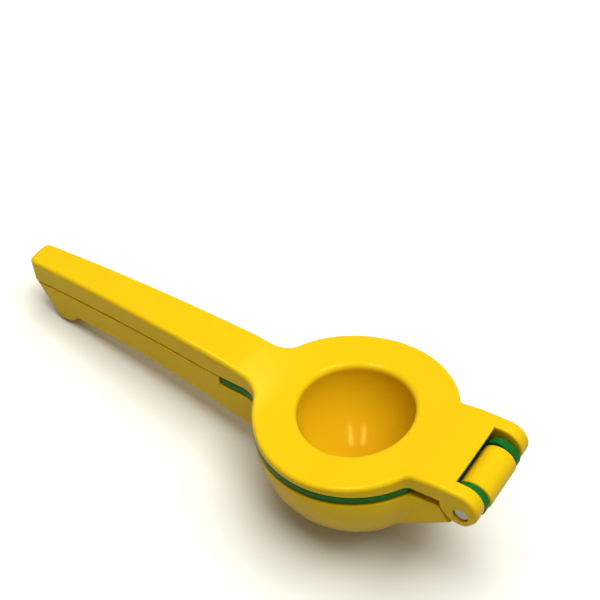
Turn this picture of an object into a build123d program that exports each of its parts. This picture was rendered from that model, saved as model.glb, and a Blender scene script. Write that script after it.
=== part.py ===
from build123d import *
import os
from math import acos, asin, atan2, degrees, hypot, radians, sin, sqrt, tan

# Hinged two-in-one citrus squeezer, cast in aluminium and enamelled. A perforated lower cup with a
# handle carries, on one hinge pin, a smaller perforated insert and a press with its own handle.
# It is drawn closed in a working frame: X runs towards the hinge, Z is up, and the origin is the
# centre of the ring on top of the insert's flange. Lengths are in millimetres, angles in degrees.
# In the side view a point is (distance from the ring's centre towards the handle's end, height).

# Ring, which the press plate and the insert's flange share
ring_radius = 37.5
press_edge_radius = 1.4
press_lower_edge_radius = 0.5

# Press in the side view: its top sags over the ring and rises to the tab and to the arched handle
tab_top = 7.2
tab_flat_reach = -43.5
press_sag = ((-30.0, 5.5), (-8.0, 3.3), (8.0, 2.7), (24.0, 3.7), (37.0, 6.3))
press_knee = (50.0, 9.3)
press_middle = (98.0, 13.95)
press_end_height = 15.9
press_end_draft = 0.3

# Press bowl: its inside is the hollow seen from above, its outside the dome that squeezes
bowl_radius = 21.4
bowl_wall = 2.8
bowl_centre_height = 2.2
bowl_rim_radius = 2.0
dome_root_height = 1.5
dome_root_radius = 1.5

# Lime insert
flange_thickness = 3.1
flange_edge_radius = 0.5
insert_radius = 29.0
insert_wall = 2.5
insert_centre_drop = 1.0
insert_mouth_radius = 0.8
insert_root_radius = 1.5

# Lower cup
cup_inset = 0.1
cup_wall = 3.4
cup_centre_drop = 7.1
cup_rim_radius = 0.8

# Drain holes, one at the pole of each cup and one ring of them around it
hole_radius = 2.0
hole_ring_count = 6
hole_ring_angle = 22.5

# Handles in the plan view
handle_length = 147.3
handle_root_gap = 7.5
handle_root_width = 19.2
handle_end_width = 11.4
handle_end_corner = 3.0
handle_ring_fillet = 10.0
lower_edge_radius = 2.0
seam_edge_radius = 0.5

# The line where the handles meet leaves the ring's plane and arches gently
seam_start_gap = 4.5
seam_knee = (62.0, 0.75)
seam_middle = (98.0, 3.95)
seam_end_height = 5.3

# Lower handle in the side view; the last three places are measured back from the handle's end
lower_root = (28.0, -25.4)
lower_middle = (80.0, -12.0)
lower_waist = (handle_length - 22.8, -7.3)
lower_heel = (handle_length - 15.3, -11.3)
lower_tip = (handle_length - 9.7, -11.8)
lower_end_draft = 0.5

# Insert's finger tab under the press handle
tab_gap = 15.9
tab_end_gap = 0.9
tab_end_radius = 1.2

# Hinge
pin_gap = 15.4
pin_drop = 2.7
pin_radius = 3.0
pin_recess = 0.7
pin_chamfer = 0.4
hinge_half_width = 19.4
hinge_corner_fillet = 3.5
ear_width = 5.8
ear_shift = 1.2
ear_centre_height = -0.4
ear_chin_height = -7.7
ear_chin_radius = 2.5
slot_front = 4.5
slot_edge_radius = 0.8
barrel_radius = 6.6
barrel_half_width = 9.4
barrel_edge_radius = 0.8
knuckle_radius = 6.2
knuckle_width = 3.2
knuckle_edge_radius = 0.5
arm_root = (26.0, -25.1)
arm_end_height = -7.7
arm_edge_radius = 1.2
arm_plate_thickness = 4.0
arm_rib_width = 3.4
arm_pocket_reach = 39.5
arm_pocket_slope = 40.0
arm_pocket_corner = 1.5
arm_blunt_reach = 3.0

# Soft corners between the cup and the lower handle, from the rim down
blend_low_height = -19.5
blend_low_radius = 2.0
blend_steps = 3

# Clearances
nest_clearance = 0.15
seam_clearance = 0.3
rim_clearance = 1.1
hinge_side_clearance = 0.55
hinge_turn_clearance = 0.5
running_clearance = 0.05
press_interference = 0.02

# Places that follow from the sizes above
cup_radius = ring_radius - cup_inset
handle_root_reach = ring_radius + handle_root_gap
seam_start_reach = ring_radius + seam_start_gap
tab_reach = ring_radius + tab_gap
pin_reach = ring_radius + pin_gap
plate_bottom = nest_clearance
rim_height = -flange_thickness - rim_clearance
ear_reach = pin_reach - ear_shift
ear_radius = tab_top - ear_centre_height
ear_inner_y = hinge_half_width - ear_width
knuckle_outer_y = ear_inner_y - hinge_side_clearance
knuckle_inner_y = knuckle_outer_y - knuckle_width
slot_radius = barrel_radius + hinge_turn_clearance
pin_length = 2 * (hinge_half_width - pin_recess)

# Overlap of cutting shapes with what they cut, and a length beyond all of the part
overlap = ring_radius / 30
beyond = 4 * ring_radius


def side_point(point):
    return (-point[0], point[1])


def side_face(outline):
    """A face of the XZ plane, drawn with X to the right and Z up."""
    return Plane.XZ * make_face(outline)


def slab(face, low_y, high_y):
    """A face of the XZ plane pulled out from low_y to high_y."""
    return Pos(0, high_y, 0) * extrude(face, amount=high_y - low_y)


def hinge_disc(radius, low_y, high_y):
    """A solid cylinder on the hinge axis."""
    return slab(Plane.XZ * (Pos(pin_reach, -pin_drop) * Circle(radius)), low_y, high_y)


def on_both_sides(solid):
    return solid + mirror(solid, about=Plane.XZ)


def block(low, high):
    """A box from its lowest to its highest corner."""
    size = [b - a for a, b in zip(low, high)]
    centre = [(a + b) / 2 for a, b in zip(low, high)]
    return Pos(*centre) * Box(*size)


def half_width_at(reach):
    """Half the width of both handles at a distance from the ring's centre."""
    taper = (handle_end_width - handle_root_width) / (handle_length - handle_root_reach)
    return (handle_root_width + taper * (reach - handle_root_reach)) / 2


def handle_plan(reach):
    """The tapered handle seen from above, from the ring's centre to a reach."""
    root, tip = half_width_at(0), half_width_at(reach)
    return make_face(Polyline((0, -root), (0, root), (-reach, tip), (-reach, -tip), close=True))


def outline_plan(radius, handle_reach, hinge_reach, hinge_width):
    """Ring, handle and hinge tab seen from above, with soft inner corners."""
    tab = Pos(hinge_reach / 2, 0) * Rectangle(hinge_reach, hinge_width)
    plan = Circle(radius) + handle_plan(handle_reach) + tab
    corners = [v for v in plan.vertices() if abs(hypot(v.X, v.Y) - radius) < 0.001]
    plan = fillet([v for v in corners if v.X < 0], handle_ring_fillet)
    corners = [v for v in plan.vertices() if abs(hypot(v.X, v.Y) - radius) < 0.001]
    corners = [v for v in corners if abs(abs(v.Y) - hinge_width / 2) < 0.001]
    return fillet(corners, hinge_corner_fillet)


def seam_line(height):
    """The line where the handles meet, from the ring to past the end, raised by a height."""
    start = (-seam_start_reach, height)
    knee, middle, end = ((-x, z + height) for x, z in (
        seam_knee, seam_middle, (handle_length, seam_end_height)))
    arch = ThreePointArc(knee, middle, end)
    bend = Spline(start, knee, tangents=((-1, 0), tuple(arch % 0)[:2]))
    run_out = Line(arch @ 1, arch @ 1 + (arch % 1) * seam_knee[0])
    return Line((beyond, height), start) + bend + arch + run_out


def beside_seam(height, far_height):
    """All of the XZ plane between the seam line raised by a height and a far level."""
    line = seam_line(height)
    near, far = line @ 0, line @ 1
    sides = Polyline(far, (far.X, far_height), (near.X, far_height), near)
    return side_face(line + sides)


def drain_holes(centre_height, radius):
    """Rods through a cup's wall, pointing at the centre of its sphere."""
    rod = Pos(0, 0, -radius) * Cylinder(hole_radius, radius)
    holes = rod
    for turn in range(hole_ring_count):
        around = Rot(0, 0, (turn + 0.5) * 360 / hole_ring_count)
        holes += around * Rot(0, hole_ring_angle, 0) * rod
    return Pos(0, 0, centre_height) * holes


def rim_edges(solid, plan, seam_height, end_reach):
    """Edges on a plan outline in two lists: those on the seam line raised by a height, and others."""
    seam = seam_line(seam_height)
    on_seam, others = [], []
    for edge in solid.edges():
        middle = edge @ 0.5
        upright = edge.geom_type == GeomType.LINE and abs((edge % 0.5).Z) > 0.8
        at_end = middle.X < handle_end_corner - end_reach
        if upright or not (at_end or plan.distance_to(Vertex(middle.X, middle.Y, 0)) < 0.01):
            continue
        if seam.distance_to(Vertex(middle.X, middle.Z, 0)) < 0.01:
            on_seam.append(edge)
        else:
            others.append(edge)
    return on_seam, others


def press_side():
    """Side view of the press: level tab, sagging ring plate, and arched handle."""
    knee, middle, end = (side_point(p) for p in (
        press_knee, press_middle, (handle_length, press_end_height)))
    arch = ThreePointArc(knee, middle, end)
    start = side_point((tab_flat_reach, tab_top))
    sag = Spline(start, *(side_point(p) for p in press_sag), knee,
                 tangents=((-1, 0), tuple(arch % 0)[:2]))
    foot = (press_end_draft - handle_length, 0)
    side = side_face(Line((ear_reach, tab_top), start) + sag + arch
                     + Polyline(end, foot, (ear_reach, 0), (ear_reach, tab_top)))
    return side & beside_seam(plate_bottom, beyond)


def make_ears():
    """Both hinge ears as one rounded block across the hinge, before the slot is cut."""
    side = Pos(ear_reach, ear_centre_height) * Circle(ear_radius)
    side -= Pos(ear_reach, ear_chin_height - beyond / 2) * Rectangle(beyond, beyond)
    side = fillet(side.vertices().sort_by(Axis.Y)[:2], ear_chin_radius)
    ears = slab(Plane.XZ * side, -hinge_half_width, hinge_half_width)
    ends = ears.faces().filter_by(Axis.Y)
    return fillet(ends.edges(), press_edge_radius)


def cut_hinge_slot(press):
    """Take out the room between the ears for the barrel, the knuckles and their turn."""
    front = pin_reach - slot_front
    low = ear_reach - ear_radius - overlap
    press -= block((front, -ear_inner_y, -pin_drop), (beyond, ear_inner_y, tab_top + overlap))
    press -= block((low, -ear_inner_y, -beyond), (beyond, ear_inner_y, plate_bottom))
    press = (press - hinge_disc(slot_radius, -ear_inner_y, ear_inner_y)).solid()
    brim = []
    for edge in press.edges():
        middle = edge @ 0.5
        on_wall = abs(abs(middle.Y) - ear_inner_y) < 0.01
        on_ear = on_wall and (middle.X > front + 0.01 or middle.Z < plate_bottom - 0.01)
        on_slot = hypot(middle.X - pin_reach, middle.Z + pin_drop) < slot_radius + 0.01
        on_front = abs(middle.X - front) < 0.01 and abs(middle.Z - tab_top) < 0.01
        if on_ear and not on_slot or on_front:
            brim.append(edge)
    press = press.fillet(slot_edge_radius, brim)
    return press - hinge_disc(pin_radius - press_interference, -beyond, beyond)


def turned(profile):
    """A solid of revolution about the ring's axis from the right-hand half of a profile."""
    right = Pos(beyond / 2, 0) * Rectangle(beyond, 2 * beyond)
    return revolve(Plane.XZ * (profile & right), Axis.Z)


def half_ball(radius, centre_height, high):
    """Right-hand view of a ball's lower half with a straight collar, cut off at a level."""
    collar = Pos(0, centre_height + beyond / 2) * Rectangle(2 * radius, beyond)
    profile = Pos(0, centre_height) * Circle(radius) + collar
    return profile - Pos(0, high + beyond) * Rectangle(beyond, 2 * beyond)


def ball_on_plate(radius, centre_height, low, high, corner):
    """A half ball under a round plate, with a soft corner where they meet."""
    plate = Pos(0, (low + high) / 2) * Rectangle(2 * radius + 6 * corner, high - low)
    profile = half_ball(radius, centre_height, high) + plate
    inner = [v for v in profile.vertices() if abs(v.Y - low) < 0.001 and abs(v.X) < radius + corner]
    return turned(fillet(inner, corner))


def add_bowl(press):
    """The round hollow in the plate and the smooth dome that it makes underneath."""
    press += ball_on_plate(bowl_radius + bowl_wall, bowl_centre_height,
                           plate_bottom, dome_root_height, dome_root_radius)
    centre = Vector(0, 0, bowl_centre_height)
    press = press.solid() - Pos(centre) * Sphere(bowl_radius)
    brim = press.edges().filter_by(
        lambda e: abs((e @ 0.5 - centre).length - bowl_radius) < 0.01 and (e @ 0.5).Z > centre.Z)
    return press.solid().fillet(bowl_rim_radius, brim)


def make_press():
    """Ring plate with its bowl, the upper handle and the two hinge ears."""
    plan = outline_plan(ring_radius, handle_length + overlap, pin_reach + overlap, 2 * hinge_half_width)
    press = extrude(Pos(0, 0, -beyond / 4) * plan, amount=beyond / 2)
    press = (press & slab(press_side(), -beyond, beyond)).solid()
    end_edges = press.edges().filter_by(
        lambda e: abs((e @ 0.5).X + handle_length) < press_end_draft and abs((e % 0.5).Y) < 0.1)
    press = fillet(end_edges, handle_end_corner)
    outline = plan.face().outer_wire()
    lower, upper = rim_edges(press, outline, plate_bottom, handle_length)
    press = fillet(upper, press_edge_radius)
    lower, upper = rim_edges(press, outline, plate_bottom, handle_length)
    press = fillet(lower, press_lower_edge_radius)
    press = (press + make_ears()).solid()
    press = cut_hinge_slot(press)
    return add_bowl(press.solid())


def make_insert():
    """Perforated inner cup with its flange, finger tab, web and two hinge knuckles."""
    plan = outline_plan(ring_radius, tab_reach, pin_reach, 2 * knuckle_outer_y)
    tab_corners = [v for v in plan.vertices() if abs(v.X + tab_reach) < 0.001]
    plan = fillet(tab_corners, tab_end_radius)
    insert = extrude(Pos(0, 0, -beyond / 4) * plan, amount=beyond / 2)
    side = beside_seam(-flange_thickness, beyond) & beside_seam(0, -beyond)
    insert = (insert & slab(side, -beyond, beyond)).solid()
    outline = plan.face().outer_wire()
    for height in (0, -flange_thickness):
        edges, _ = rim_edges(insert, outline, height, tab_reach)
        insert = fillet(edges, flange_edge_radius)
    knuckles = hinge_disc(knuckle_radius, -knuckle_outer_y, knuckle_outer_y)
    knuckles = fillet(knuckles.edges(), knuckle_edge_radius)
    insert = (insert + knuckles).solid()
    insert -= hinge_disc(slot_radius, -knuckle_inner_y, knuckle_inner_y)
    insert -= hinge_disc(pin_radius + running_clearance, -beyond, beyond)
    insert += ball_on_plate(insert_radius, -insert_centre_drop,
                            -flange_thickness, -flange_thickness / 2, insert_root_radius)
    insert = insert.solid() - ball_on_plate(insert_radius - insert_wall, -insert_centre_drop,
                                            0, overlap, insert_mouth_radius)
    insert -= drain_holes(-insert_centre_drop, insert_radius + overlap)
    return insert.solid()


def strip_along_x(low_x, high_x):
    """A tall strip of the XZ plane between two places along X."""
    return Plane.XZ * (Pos((low_x + high_x) / 2, 0) * Rectangle(high_x - low_x, 2 * beyond))


def lower_handle_side():
    """Side view of the lower handle, from inside the cup to its end, with room for the tab."""
    root, middle, waist, heel, tip = (side_point(p) for p in (
        lower_root, lower_middle, lower_waist, lower_heel, lower_tip))
    sweep = ThreePointArc(root, middle, waist)
    last = Line(heel, tip)
    bend = Spline(waist, heel, tangents=(tuple(sweep % 1)[:2], tuple(last % 0)[:2]))
    end = (lower_end_draft - handle_length, seam_end_height)
    lean = (end[0] - tip[0]) / (end[1] - tip[1])
    top = (end[0] + lean * seam_end_height, 2 * seam_end_height)
    sides = Polyline(tip, end, top, (0, top[1]), (0, root[1]), root)
    side = side_face(sweep + bend + last + sides)
    side &= beside_seam(plate_bottom - seam_clearance, -beyond)
    return side - (beside_seam(rim_height, beyond) & strip_along_x(-tab_reach - tab_end_gap, beyond))


def make_lower_handle():
    """The lower handle with rounded edges and end, reaching into the cup's ball."""
    plan = handle_plan(handle_length + overlap)
    handle = extrude(Pos(0, 0, -beyond / 4) * plan, amount=beyond / 2)
    handle = (handle & slab(lower_handle_side(), -beyond, beyond)).solid()
    end_edges = handle.edges().filter_by(
        lambda e: (e @ 0.5).X < -lower_heel[0] and abs((e % 0.5).Z) > 0.8)
    handle = fillet(end_edges, handle_end_corner)
    outline = plan.face().outer_wire()
    seam_height = plate_bottom - seam_clearance
    _, others = rim_edges(handle, outline, seam_height, lower_tip[0])
    under = [e for e in others if (e @ 0.5).Z < lower_waist[1] and (e @ 0.5).X < -overlap]
    handle = fillet(under, lower_edge_radius)
    on_seam, _ = rim_edges(handle, outline, seam_height, lower_tip[0])
    return fillet(on_seam, seam_edge_radius)


def make_arm():
    """The hinge arm as a wedge under the rim's plane, with rounded lower edges."""
    outline = Polyline((0, rim_height), (pin_reach, rim_height), (pin_reach, arm_end_height),
                       arm_root, (0, arm_root[1]), (0, rim_height))
    arm = slab(side_face(outline), -hinge_half_width, hinge_half_width).solid()
    lower = arm.edges().filter_by(
        lambda e: abs((e @ 0.5).Y) > hinge_half_width - 0.01 and abs((e % 0.5).X * (e % 0.5).Z) > 0.1)
    return fillet(lower, arm_edge_radius)


def arm_pocket():
    """The hollow under the arm that leaves a rib on each side and a flat strip by the hinge."""
    floor = rim_height - arm_plate_thickness
    low = arm_root[1] - overlap
    lean = tan(radians(arm_pocket_slope)) * (floor - low)
    side = side_face(Polyline((0, floor), (arm_pocket_reach, floor), (arm_pocket_reach + lean, low),
                              (0, low), close=True))
    width = hinge_half_width - arm_rib_width
    pocket = slab(side, -width, width).solid()
    inner = [e for e in pocket.edges() if (e @ 0.5).X > overlap and (e @ 0.5).Z > low + overlap]
    return fillet(inner, arm_pocket_corner)


def ear_room():
    """Side view of the room that the ears sweep, off the pin's axis, as the press turns over."""
    rise = ear_centre_height + pin_drop
    room = SlotCenterToCenter(2 * hypot(ear_shift, rise), 2 * (ear_radius + hinge_turn_clearance))
    return Plane.XZ * (Pos(pin_reach, -pin_drop) * Rot(0, 0, degrees(atan2(rise, -ear_shift))) * room)


def cut_arm(cup):
    """Shape the arm around the hinge: room for the knuckles and ears, and the barrel."""
    between = knuckle_outer_y + hinge_side_clearance / 2
    rooms = hinge_disc(knuckle_radius + hinge_turn_clearance, barrel_half_width, between)
    rooms += slab(ear_room(), between, beyond)
    rooms += block((pin_reach - arm_blunt_reach, barrel_half_width, -beyond), (beyond, beyond, beyond))
    cup -= on_both_sides(rooms)
    barrel = hinge_disc(barrel_radius, -barrel_half_width, barrel_half_width)
    cup += fillet(barrel.edges(), barrel_edge_radius)
    return cup.solid() - hinge_disc(pin_radius + running_clearance, -beyond, beyond)


def blend_section(height, corner):
    """At one height, the soft corner between the cup's ball and the side of the lower handle."""
    radius = sqrt(cup_radius ** 2 - min(height + cup_centre_drop, 0) ** 2)
    side_start = Vector(0, half_width_at(0))
    along = (Vector(-handle_length, half_width_at(handle_length)) - side_start).normalized()
    across = Vector(along.Y, -along.X)
    start = side_start + across * corner
    toward = start.dot(along)
    run = sqrt(toward ** 2 - start.dot(start) + (radius + corner) ** 2) - toward
    centre = start + along * run
    on_side = centre - across * corner
    on_circle = centre * (radius / (radius + corner))
    middle = centre - (centre * 2 - on_side - on_circle).normalized() * corner
    arc = ThreePointArc(on_side, middle, on_circle)
    inside = (-radius + cup_wall + overlap, half_width_at(radius) - cup_wall)
    return Pos(0, 0, height) * make_face(arc + Polyline(on_circle, inside, on_side))


def handle_blends():
    """Soft corners on both sides of the lower handle, widest at the cup's rim."""
    high, low = rim_height + overlap, blend_low_height
    sections = []
    for step in range(blend_steps + 1):
        share = step / blend_steps
        corner = handle_ring_fillet + share * (blend_low_radius - handle_ring_fillet)
        sections.append(blend_section(high + share * (low - high), corner))
    blend = loft(sections)
    blend -= block((-beyond, -beyond, rim_height), (beyond, beyond, beyond))
    return on_both_sides(blend)


def on_half_ball(point, radius, centre_height):
    """Whether a point lies on a half ball about the ring's axis or on its straight collar."""
    return abs(hypot(point.X, point.Y, min(point.Z - centre_height, 0)) - radius) < 0.01


def rim_envelope(handle_reach):
    """Everything below the cup's rim and the handle's notch, with a rounded upper edge."""
    plan = outline_plan(cup_radius, handle_reach, pin_reach + overlap, 2 * hinge_half_width)
    body = extrude(Pos(0, 0, -beyond / 2) * plan, amount=beyond)
    body = (body & slab(beside_seam(rim_height, -beyond / 2), -beyond, beyond)).solid()
    edges, _ = rim_edges(body, plan.face().outer_wire(), rim_height, beyond)
    edges = [e for e in edges if -handle_reach < (e @ 0.5).X - 0.01 and (e @ 0.5).X < pin_reach]
    return fillet(edges, cup_rim_radius)


def make_cup():
    """Large perforated cup with the lower handle and the hinge arm."""
    ball = turned(half_ball(cup_radius, -cup_centre_drop, rim_height))
    cup = (ball + make_arm()).solid()
    corners = cup.edges().filter_by(
        lambda e: on_half_ball(e @ 0.5, cup_radius, -cup_centre_drop) and abs((e % 0.5).Z) > 0.5
        and abs(abs((e @ 0.5).Y) - hinge_half_width) < 0.01)
    cup = fillet(corners, hinge_corner_fillet)
    cup -= arm_pocket() - Pos(0, 0, -cup_centre_drop) * Sphere(cup_radius)
    cup = (cup.solid() + make_lower_handle() + handle_blends()).solid()
    notch_end = tab_reach + tab_end_gap
    back = cup & block((-beyond, -beyond, -beyond), (-notch_end, beyond, beyond))
    cup = (cup & rim_envelope(notch_end)) + back
    cup -= ball_on_plate(cup_radius - cup_wall, -cup_centre_drop, rim_height, rim_height + overlap,
                         cup_rim_radius)
    cup = cut_arm(cup.solid())
    cup -= drain_holes(-cup_centre_drop, cup_radius + overlap)
    return cup.solid()


def make_pin():
    """Straight hinge pin, pressed into the ears."""
    pin = Cylinder(pin_radius, pin_length, rotation=(90, 0, 0))
    pin = chamfer(pin.edges(), pin_chamfer)
    return Pos(pin_reach, 0, -pin_drop) * pin


def rest_tilt():
    """Turn about Y that stands the closed tool on the cup's ball and the lower handle's tip."""
    tip, heel = Vector(*side_point(lower_tip)), Vector(*side_point(lower_heel))
    end = Vector(lower_end_draft - handle_length, seam_end_height)
    toward_heel, toward_end = (heel - tip).normalized(), (end - tip).normalized()
    half_angle = acos(toward_heel.dot(toward_end)) / 2
    bisector = (toward_heel + toward_end).normalized()
    tip_centre = tip + bisector * (lower_edge_radius / sin(half_angle))
    span = Vector(0, -cup_centre_drop) - tip_centre
    return degrees(atan2(span.Y, span.X) - asin((cup_radius - lower_edge_radius) / span.length))


pieces = {
    "lower_cup": make_cup(),
    "lime_insert": make_insert(),
    "press": make_press(),
    "hinge_pin": make_pin(),
}

# The finished tool lies closed on a flat surface, on the cup and the tip of the lower handle
tilt = Rot(0, rest_tilt(), 0)
box = Compound(children=[tilt * piece for piece in pieces.values()]).bounding_box()
rest = Pos(-box.center().X, -box.center().Y, -box.min.Z) * tilt

os.makedirs("parts", exist_ok=True)
for name, piece in pieces.items():
    export_step(rest * piece, "parts/" + name + ".step")

print("rest tilt", rest_tilt())
print("hinge axis through", tuple((rest * Pos(pin_reach, 0, -pin_drop)).position))
print("ring centre", tuple(rest.position))
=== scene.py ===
import bpy
from math import cos, radians, sin
from mathutils import Matrix, Vector


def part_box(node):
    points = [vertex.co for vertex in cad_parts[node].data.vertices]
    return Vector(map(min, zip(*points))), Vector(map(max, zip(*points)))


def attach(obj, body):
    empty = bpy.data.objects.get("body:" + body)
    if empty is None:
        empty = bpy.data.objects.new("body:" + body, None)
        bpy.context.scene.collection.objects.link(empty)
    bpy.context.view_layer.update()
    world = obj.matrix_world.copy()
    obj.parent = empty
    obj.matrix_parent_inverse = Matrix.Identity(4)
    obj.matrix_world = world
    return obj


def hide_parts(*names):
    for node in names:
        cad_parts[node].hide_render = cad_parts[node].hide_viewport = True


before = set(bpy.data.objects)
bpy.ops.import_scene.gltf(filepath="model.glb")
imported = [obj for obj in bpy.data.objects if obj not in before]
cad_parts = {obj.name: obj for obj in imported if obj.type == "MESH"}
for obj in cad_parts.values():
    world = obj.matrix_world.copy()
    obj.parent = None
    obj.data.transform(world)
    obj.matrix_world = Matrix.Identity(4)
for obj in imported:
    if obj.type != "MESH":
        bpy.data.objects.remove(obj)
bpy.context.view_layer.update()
print("frame loaded")


# Small helpers for shader trees
def newNode(tree, kind, inputs=None, **settings):
    node = tree.nodes.new(kind)
    for name, value in settings.items():
        setattr(node, name, value)
    for name, value in (inputs or {}).items():
        node.inputs[name].default_value = value
    return node


def link(tree, start, out, end, into):
    tree.links.new(start.outputs[out], end.inputs[into])


def newGroup(name, inputs, outputs):
    group = bpy.data.node_groups.new(name, "ShaderNodeTree")
    for label, kind, value in inputs:
        socket = group.interface.new_socket(label, in_out="INPUT", socket_type=kind)
        socket.default_value = value
    for label, kind in outputs:
        group.interface.new_socket(label, in_out="OUTPUT", socket_type=kind)
    return group, group.nodes.new("NodeGroupInput"), group.nodes.new("NodeGroupOutput")


# Sprayed and baked enamel: a slow drift of colour, tiny darker specks, orange peel with gentle waves,
# and painted shade: a darker, deeper tone laid into the part's own hollows
skinLook = {"drift": 38.0, "driftFrom": (0.35, 0.75), "driftMost": 0.35,
            "specks": 1500.0, "speckFrom": (0.56, 0.72),
            "peel": 620.0, "waves": 95.0, "peelShare": 0.35,
            "occlusion": 0.03, "paintedShade": (0.95, 0.45), "dullFrom": (0.3, 0.7), "dull": (0.85, 1.2)}


def ranged(tree, start, end, low=0.0, high=1.0):
    limits = {"From Min": start, "From Max": end, "To Min": low, "To Max": high}
    return newNode(tree, "ShaderNodeMapRange", limits)


def buildEnamelSkin(look=skinLook):
    group, given, result = newGroup(
        "enamelSkin",
        [("Coat Color", "NodeSocketColor", (1, 1, 1, 1)),
         ("Deep Color", "NodeSocketColor", (1, 1, 1, 1)),
         ("Hollow Shade Color", "NodeSocketColor", (1, 1, 1, 1)),
         ("Speck Amount", "NodeSocketFloat", 0.1),
         ("Peel Height", "NodeSocketFloat", 0.5),
         ("Roughness", "NodeSocketFloat", 0.25)],
        [("Color", "NodeSocketColor"), ("Roughness", "NodeSocketFloat"), ("Height", "NodeSocketFloat")])
    place = newNode(group, "ShaderNodeTexCoord")
    drift = newNode(group, "ShaderNodeTexNoise", {"Scale": look["drift"], "Detail": 3.0, "Roughness": 0.55})
    specks = newNode(group, "ShaderNodeTexNoise", {"Scale": look["specks"], "Detail": 2.0})
    speckMask = ranged(group, *look["speckFrom"])
    peel = newNode(group, "ShaderNodeTexNoise", {"Scale": look["peel"], "Detail": 1.5, "Roughness": 0.5})
    waves = newNode(group, "ShaderNodeTexNoise", {"Scale": look["waves"], "Detail": 1.0})
    for texture in (drift, specks, peel, waves):
        link(group, place, "Object", texture, "Vector")
    link(group, specks, "Fac", speckMask, "Value")
    speckShare = newNode(group, "ShaderNodeMath", operation="MULTIPLY")
    link(group, speckMask, "Result", speckShare, 0)
    link(group, given, "Speck Amount", speckShare, 1)
    driftShare = ranged(group, *look["driftFrom"], high=look["driftMost"])
    link(group, drift, "Fac", driftShare, "Value")
    total = newNode(group, "ShaderNodeMath", operation="ADD", use_clamp=True)
    link(group, speckShare, 0, total, 0)
    link(group, driftShare, "Result", total, 1)
    color = newNode(group, "ShaderNodeMix", data_type="RGBA")
    link(group, total, 0, color, "Factor")
    link(group, given, "Coat Color", color, 6)
    link(group, given, "Deep Color", color, 7)
    # Painted shade: where the part's own faces close in around a point, the colour darkens towards the
    # hollow colour
    occlusion = newNode(group, "ShaderNodeAmbientOcclusion", {"Distance": look["occlusion"]}, only_local=True)
    paintedShade = ranged(group, *look["paintedShade"])
    link(group, occlusion, "AO", paintedShade, "Value")
    shadedCoat = newNode(group, "ShaderNodeMix", data_type="RGBA")
    link(group, paintedShade, "Result", shadedCoat, "Factor")
    link(group, color, 2, shadedCoat, 6)
    link(group, given, "Hollow Shade Color", shadedCoat, 7)
    link(group, shadedCoat, 2, result, "Color")
    dull = ranged(group, *look["dullFrom"], *look["dull"])
    link(group, drift, "Fac", dull, "Value")
    rough = newNode(group, "ShaderNodeMath", operation="MULTIPLY")
    link(group, dull, "Result", rough, 0)
    link(group, given, "Roughness", rough, 1)
    link(group, rough, 0, result, "Roughness")
    both = newNode(group, "ShaderNodeMath", {1: look["peelShare"]}, operation="MULTIPLY_ADD")
    link(group, peel, "Fac", both, 0)
    link(group, waves, "Fac", both, 2)
    height = newNode(group, "ShaderNodeMath", operation="MULTIPLY")
    link(group, both, 0, height, 0)
    link(group, given, "Peel Height", height, 1)
    link(group, height, 0, result, "Height")
    return group


enamelSkin = buildEnamelSkin()


def enamelMaterial(name, look):
    material = bpy.data.materials.new(name)
    material.use_nodes = True
    tree = material.node_tree
    shader = tree.nodes["Principled BSDF"]
    skin = newNode(tree, "ShaderNodeGroup", node_tree=enamelSkin)
    skin.inputs["Coat Color"].default_value = look["coat"]
    skin.inputs["Deep Color"].default_value = look["deep"]
    skin.inputs["Hollow Shade Color"].default_value = look["hollow"]
    skin.inputs["Speck Amount"].default_value = look["specks"]
    skin.inputs["Peel Height"].default_value = look["peel"]
    skin.inputs["Roughness"].default_value = look["roughness"]
    bump = newNode(tree, "ShaderNodeBump", {"Strength": 0.25, "Distance": 0.0002})
    link(tree, skin, "Color", shader, "Base Color")
    link(tree, skin, "Roughness", shader, "Roughness")
    link(tree, skin, "Height", bump, "Height")
    link(tree, bump, "Normal", shader, "Normal")
    shader.inputs["Specular IOR Level"].default_value = look["gloss"]
    shader.inputs["Specular Tint"].default_value = look["glint"]
    return material


# Each hollow colour is painted shade, the darker tone laid into the casting's own hollows
yellowLook = {"coat": (0.82, 0.53, 0.006, 1), "deep": (0.78, 0.475, 0.004, 1),
              "hollow": (0.54, 0.265, 0.003, 1), "specks": 0.25, "peel": 0.35, "roughness": 0.15,
              "gloss": 0.17, "glint": (1.0, 0.85, 0.15, 1)}
greenLook = {"coat": (0.008, 0.15, 0.016, 1), "deep": (0.006, 0.11, 0.011, 1),
             "hollow": (0.004, 0.07, 0.007, 1), "specks": 0.25, "peel": 0.35, "roughness": 0.20,
             "gloss": 0.15, "glint": (0.3, 1.0, 0.35, 1)}
yellowEnamel = enamelMaterial("yellowEnamel", yellowLook)
greenEnamel = enamelMaterial("greenEnamel", greenLook)
print("enamels made")

# The pin's cut ends show fine rings from the lathe
pinLook = {"color": (0.50, 0.49, 0.50, 1), "rings": 450.0, "roughness": 0.32}


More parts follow.
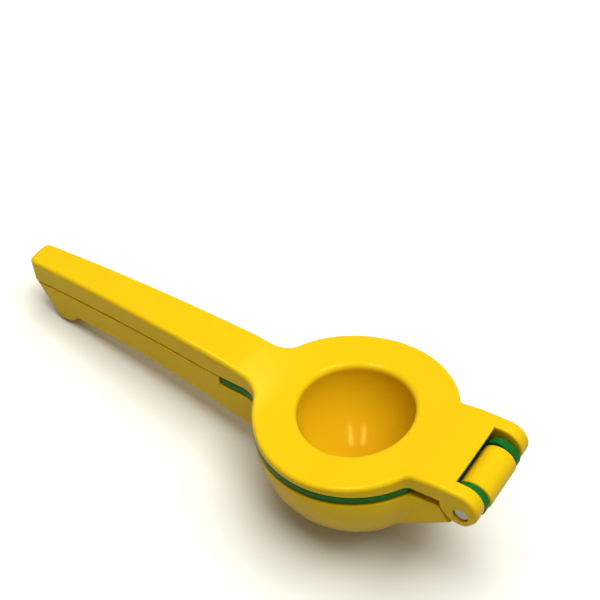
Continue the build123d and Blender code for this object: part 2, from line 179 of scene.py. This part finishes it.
def pinMaterial(look):
    material = bpy.data.materials.new("turnedSteel")
    material.use_nodes = True
    tree = material.node_tree
    shader = tree.nodes["Principled BSDF"]
    place = newNode(tree, "ShaderNodeTexCoord")
    low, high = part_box("hinge_pin")
    centre = (low + high) / 2
    move = newNode(tree, "ShaderNodeMapping", {"Location": -centre})
    link(tree, place, "Object", move, "Vector")
    rings = newNode(tree, "ShaderNodeTexWave", {"Scale": look["rings"], "Distortion": 1.5, "Detail": 2.0},
                    wave_type="RINGS", rings_direction="Y")
    link(tree, move, "Vector", rings, "Vector")
    bump = newNode(tree, "ShaderNodeBump", {"Strength": 0.3, "Distance": 0.00003})
    link(tree, rings, "Fac", bump, "Height")
    link(tree, bump, "Normal", shader, "Normal")
    shader.inputs["Base Color"].default_value = look["color"]
    shader.inputs["Metallic"].default_value = 1.0
    shader.inputs["Roughness"].default_value = look["roughness"]
    return material


turnedSteel = pinMaterial(pinLook)


def paint(piece, material):
    piece.data.materials.clear()
    piece.data.materials.append(material)


paint(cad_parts["hinge_pin"], turnedSteel)
print("pin painted")

# The three castings again, with the finer shapes of their hinge ends and rims.
# Places are in millimetres from the ring's centre, along the handles and up from the flange
inMetre = 1000
ringCentre = Vector((43.93632, 0, 44.29075))
fromTool = Matrix.Rotation(radians(-13.9447), 3, "Y")
toTool = fromTool.inverted()
pinPlace = Vector((52.9, 0, -2.7))
close = 0.03  # a point this near to a face counts as on it


def smooth(value, start, end):
    share = min(max((value - start) / (end - start), 0), 1)
    return share * share * (3 - 2 * share)


def reshaped(node, name, material, shape):
    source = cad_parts[node]
    mesh = source.data.copy()
    mesh.name = name
    for vertex in mesh.vertices:
        place = toTool @ (vertex.co * inMetre - ringCentre)
        shape(place)
        vertex.co = (fromTool @ place + ringCentre) / inMetre
    piece = bpy.data.objects.new(name, mesh)
    bpy.context.scene.collection.objects.link(piece)
    paint(piece, material)
    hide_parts(node)
    return piece


# How far a point belongs to the ring's edge, which fades out towards the handles and the hinge
def edgeShare(place, edge, hinge, handles=(-41, -34)):
    reach = (place.x ** 2 + place.y ** 2) ** 0.5
    return smooth(reach, *edge) * smooth(place.x, *handles) * smooth(-place.x, -hinge[1], -hinge[0])


# Moves a point of a knuckle or an ear outwards from the pin, on the side that faces one way
def grow(place, look, more):
    inner, outer = look["span"]
    spoke = Vector((place.x - pinPlace.x, 0, place.z - pinPlace.z))
    size = spoke.length
    if not inner < size < outer + close:
        return
    share = smooth(spoke.dot(Vector(look["facing"])) / size, *look["turn"])
    grown = size + share * more * (size - inner) / (outer - inner)
    place.x, place.z = pinPlace.x + spoke.x * grown / size, pinPlace.z + spoke.z * grown / size


insertShape = {"flange": 3.1, "lower": 0.6, "edge": (31, 34), "hinge": (38, 47),
               "side": 9.3, "span": (5.2, 6.2), "facing": (-0.6, 0, 0.8), "turn": (0.55, 0.9), "more": 0.9}


def shapeInsert(place, look=insertShape):
    if -look["flange"] - close < place.z < close:
        thinned = look["lower"] * (1 + place.z / look["flange"])
        place.z -= edgeShare(place, look["edge"], look["hinge"]) * thinned
    if abs(place.y) > look["side"]:
        grow(place, look, look["more"])


pressShape = {"slotHalf": 13.62, "slotFront": 48.4, "leanFrom": 6.8, "lean": 1.8, "room": 7.1, "deeper": 4.0,
              "earsFrom": 47, "chin": -5.9, "chinEnd": -7.7, "lower": 1.0,
              "growFrom": 50, "growBelow": -3, "fade": (3, 6), "span": (4.5, 9.0), "facing": (0.8, 0, -0.6),
              "turn": (-0.2, 0.6), "more": 0.9,
              "underside": (-0.1, 0.8), "edge": (31, 34), "hinge": (30, 38), "thicker": 0.6}


def shapePress(place, look=pressShape):
    inSlot = abs(place.y) < look["slotHalf"]
    fromPin = ((place.x - pinPlace.x) ** 2 + (place.z - pinPlace.z) ** 2) ** 0.5
    if inSlot and abs(place.x - look["slotFront"]) < close:
        place.x -= look["lean"] * max(look["leanFrom"] - place.z, 0)
    elif inSlot and place.x < look["slotFront"] and abs(fromPin - look["room"]) < close:
        place.x -= look["deeper"]
    if place.x > look["earsFrom"] and place.z < look["chin"]:
        place.z += (place.z - look["chin"]) * look["lower"] / (look["chin"] - look["chinEnd"])
    if place.x > look["growFrom"] and place.z < look["growBelow"]:
        grow(place, look, look["more"] * smooth(-place.z, *look["fade"]))
    low, high = look["underside"]
    if low < place.z < high:
        place.z -= edgeShare(place, look["edge"], look["hinge"]) * look["thicker"]


cupShape = {"rimFrom": -3.5, "rimBand": (-6.6, -4.9), "edge": (32, 33.5), "hinge": (30, 38), "lower": 0.8,
            "side": 15, "arm": (34, 40), "slimmer": 0.6,
            "seam": ((54, 0.2), (62, 0.75), (80, 2.6), (98, 3.95), (122, 4.9), (150, 5.3)),
            "seamStart": (55, 62), "nearSeam": (-3, -1), "wider": 0.3}


def seamHeight(seam, reach):
    for (start, low), (end, high) in zip(seam, seam[1:]):
        if reach <= end:
            return low + (high - low) * (reach - start) / (end - start)
    return seam[-1][1]


def shapeCup(place, look=cupShape):
    if place.x < -look["seam"][0][0]:
        below = seamHeight(look["seam"], -place.x) - place.z
        place.z -= look["wider"] * smooth(-place.x, *look["seamStart"]) * smooth(-below, *look["nearSeam"])
    if place.z < look["rimFrom"]:
        dropped = look["lower"] * smooth(place.z, *look["rimBand"])
        place.z -= edgeShare(place, look["edge"], look["hinge"]) * dropped
    if abs(place.y) > look["side"]:
        place.y *= 1 - smooth(place.x, *look["arm"]) * look["slimmer"] / abs(place.y)


cup = reshaped("lower_cup", "lowerCup", yellowEnamel, shapeCup)
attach(cup, "cup")
insert = reshaped("lime_insert", "limeInsert", greenEnamel, shapeInsert)
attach(insert, "insert")
press = reshaped("press", "pressCasting", yellowEnamel, shapePress)
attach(press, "press")
print("castings reshaped and painted")

# Stage: a wide pale floor that the camera sees fade to plain white, away from the object's shadow
floorLook = {"half": 3.0, "fade": (0.45, 1.1), "roughness": 0.9,
             "seen": (0.95, 0.94, 0.85, 1), "bounce": (0.51, 0.51, 0.46, 1)}


def makeFloor(look):
    half = look["half"]
    mesh = bpy.data.meshes.new("floor")
    corners = [(-half, -half, 0), (half, -half, 0), (half, half, 0), (-half, half, 0)]
    mesh.from_pydata(corners, [], [(0, 1, 2, 3)])
    floor = bpy.data.objects.new("floor", mesh)
    bpy.context.scene.collection.objects.link(floor)
    material = bpy.data.materials.new("palePaper")
    material.use_nodes = True
    tree = material.node_tree
    shader = tree.nodes["Principled BSDF"]
    shader.inputs["Roughness"].default_value = look["roughness"]
    shader.inputs["Specular IOR Level"].default_value = 0.0
    rays = newNode(tree, "ShaderNodeLightPath")
    tone = newNode(tree, "ShaderNodeMix", data_type="RGBA")
    tone.inputs[6].default_value = look["bounce"]
    tone.inputs[7].default_value = look["seen"]
    link(tree, rays, "Is Camera Ray", tone, "Factor")
    link(tree, tone, 2, shader, "Base Color")
    place = newNode(tree, "ShaderNodeTexCoord")
    away = newNode(tree, "ShaderNodeVectorMath", operation="LENGTH")
    link(tree, place, "Object", away, 0)
    far = ranged(tree, *look["fade"])
    link(tree, away, "Value", far, "Value")
    seen = newNode(tree, "ShaderNodeMath", operation="MULTIPLY")
    link(tree, far, "Result", seen, 0)
    link(tree, rays, "Is Camera Ray", seen, 1)
    white = newNode(tree, "ShaderNodeEmission", {"Color": (1, 1, 1, 1), "Strength": 1.0})
    both = newNode(tree, "ShaderNodeMixShader")
    link(tree, seen, 0, both, 0)
    link(tree, shader, 0, both, 1)
    link(tree, white, 0, both, 2)
    link(tree, both, 0, tree.nodes["Material Output"], "Surface")
    mesh.materials.append(material)
    return floor


makeFloor(floorLook)

worldLook = {"light": 0.15, "mirrored": 0.2, "color": (1, 1, 1, 1)}


def makeWorld(look):
    world = bpy.data.worlds.new("studio")
    bpy.context.scene.world = world
    world.use_nodes = True
    tree = world.node_tree
    tree.nodes.clear()
    rays = newNode(tree, "ShaderNodeLightPath")
    reflected = ranged(tree, 0.0, 1.0, look["light"], look["mirrored"])
    link(tree, rays, "Is Glossy Ray", reflected, "Value")
    strength = newNode(tree, "ShaderNodeMix", {"B": 1.0})
    link(tree, rays, "Is Camera Ray", strength, "Factor")
    link(tree, reflected, "Result", strength, "A")
    background = newNode(tree, "ShaderNodeBackground", {"Color": look["color"]})
    link(tree, strength, "Result", background, "Strength")
    out = newNode(tree, "ShaderNodeOutputWorld")
    link(tree, background, "Background", out, "Surface")


makeWorld(worldLook)


def softbox(name, place, aim, size, power):
    light = bpy.data.lights.new(name, "AREA")
    light.shape = "RECTANGLE"
    light.size, light.size_y = size
    light.energy = power
    lamp = bpy.data.objects.new(name, light)
    lamp.location = place
    lamp.rotation_euler = (Vector(aim) - Vector(place)).to_track_quat("-Z", "Y").to_euler()
    bpy.context.scene.collection.objects.link(lamp)
    return lamp


# Two broad soft lamps, which no reflection sees
ringPlace = Vector((0.044, 0, 0.046))
lampLook = {"overhead": {"place": (0.04, 0.10, 1.9), "size": (1.6, 1.6), "power": 45.3},
            "behind": {"place": (-0.3, 1.55, 1.25), "size": (0.9, 0.9), "power": 5.5}}
for name, look in lampLook.items():
    lamp = softbox(name, look["place"], ringPlace, look["size"], look["power"])
    lamp.visible_glossy = False


# Two long narrow lamps, seen only as the pair of bright strips that the bowl mirrors
stripLook = {"width": 0.13, "power": 10.0,
             "leftStrip": ((-0.46, -0.45, 1.36), (-0.88, 0.51, 1.12)),
             "rightStrip": ((0.13, -0.11, 1.49), (-0.47, 0.74, 1.22))}


def striplight(name, look):
    start, end = (ringPlace + Vector(place) for place in look[name])
    middle, length = (start + end) / 2, (end - start).length
    lamp = softbox(name, middle, ringPlace, (look["width"], length), look["power"])
    toward = (middle - ringPlace).normalized()
    along = (end - start).normalized()
    across = along.cross(toward)
    lamp.rotation_euler = Matrix((across, along, toward)).transposed().to_euler()
    lamp.visible_diffuse = False


striplight("leftStrip", stripLook)
striplight("rightStrip", stripLook)
print("stage and lights made")

# Camera: a long lens from a bit more than half a metre
cameraLook = {"place": (0.140643, -0.284995, 0.474621), "azimuth": 24.1087, "elevation": 51.1879,
              "roll": 11.7917, "lens": 87.4345}


def makeCamera(look):
    azimuth, elevation = radians(look["azimuth"]), radians(look["elevation"])
    back = Vector((sin(azimuth) * cos(elevation), -cos(azimuth) * cos(elevation), sin(elevation)))
    right = Vector((cos(azimuth), sin(azimuth), 0))
    up = back.cross(right)
    level = Matrix((right, up, back)).transposed().to_4x4()
    data = bpy.data.cameras.new("camera")
    data.sensor_width = 36.0
    data.lens = look["lens"]
    camera = bpy.data.objects.new("camera", data)
    roll = Matrix.Rotation(radians(look["roll"]), 4, "Z")
    camera.matrix_world = Matrix.Translation(look["place"]) @ level @ roll
    bpy.context.scene.collection.objects.link(camera)
    bpy.context.scene.camera = camera


makeCamera(cameraLook)
bpy.context.scene.view_settings.view_transform = "Standard"
print("camera set")
